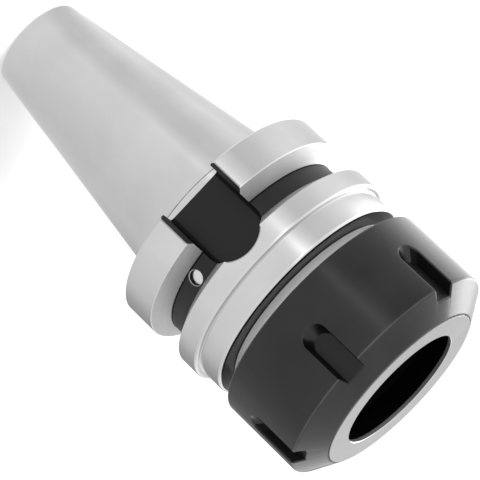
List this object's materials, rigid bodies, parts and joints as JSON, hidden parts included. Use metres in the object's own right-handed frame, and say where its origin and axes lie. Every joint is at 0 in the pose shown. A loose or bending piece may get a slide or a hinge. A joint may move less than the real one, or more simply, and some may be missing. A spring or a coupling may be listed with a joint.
{
  "type": "collet chuck holder",
  "caption": "Steep taper tool holder with a grooved flange, drive slots and a slotted nut that clamps a spring collet.",
  "frame": {"origin": "centre of the gauge plane, where the shank's taper is 44.45 mm across", "axes": "+Z along the axis from the shank towards the nut, one drive slot centred on -Y and the other on +Y"},
  "size_m": [0.063, 0.063, 0.1312],
  "materials": {
    "ground_steel": "ground bright, with blackened slots, groove floor and collar face",
    "bright_steel": "turned bright",
    "blackened_screw": "black oxide, satin",
    "blackened_steel": "black oxide, satin gloss",
    "ring_steel": "face ground bright",
    "spring_wire": "drawn spring wire"
  },
  "bodies": {
    "holder": {"holder_body": "ground_steel", "channel_plug_1": "bright_steel", "channel_plug_2": "bright_steel", "inlet_screw_1": "blackened_screw", "inlet_screw_2": "blackened_screw"},
    "ring": {"pressure_ring": "ring_steel", "retaining_wire": "spring_wire"},
    "nut": {"clamping_nut": "blackened_steel"},
    "stop": {"length_stop_screw": "blackened_screw"}
  },
  "joints": [
    {"name": "nut_travel", "type": "slide", "parent": "holder", "child": "ring", "axis": [0, 0, 1], "range_m": [-0.0016, 0.0106]},
    {"name": "nut_turn", "type": "hinge", "parent": "ring", "child": "nut", "pos_m": [0, 0, 0.052], "axis": [0, 0, 1], "range_deg": [-360, 2520]},
    {"name": "stop_screw_travel", "type": "slide", "parent": "holder", "child": "stop", "axis": [0, 0, 1], "range_m": [-0.01, 0.004]}
  ],
  "couplings": [
    {"joint": "nut_travel", "follows": "nut_turn", "m_per_rad": 0.00023873}
  ]
}
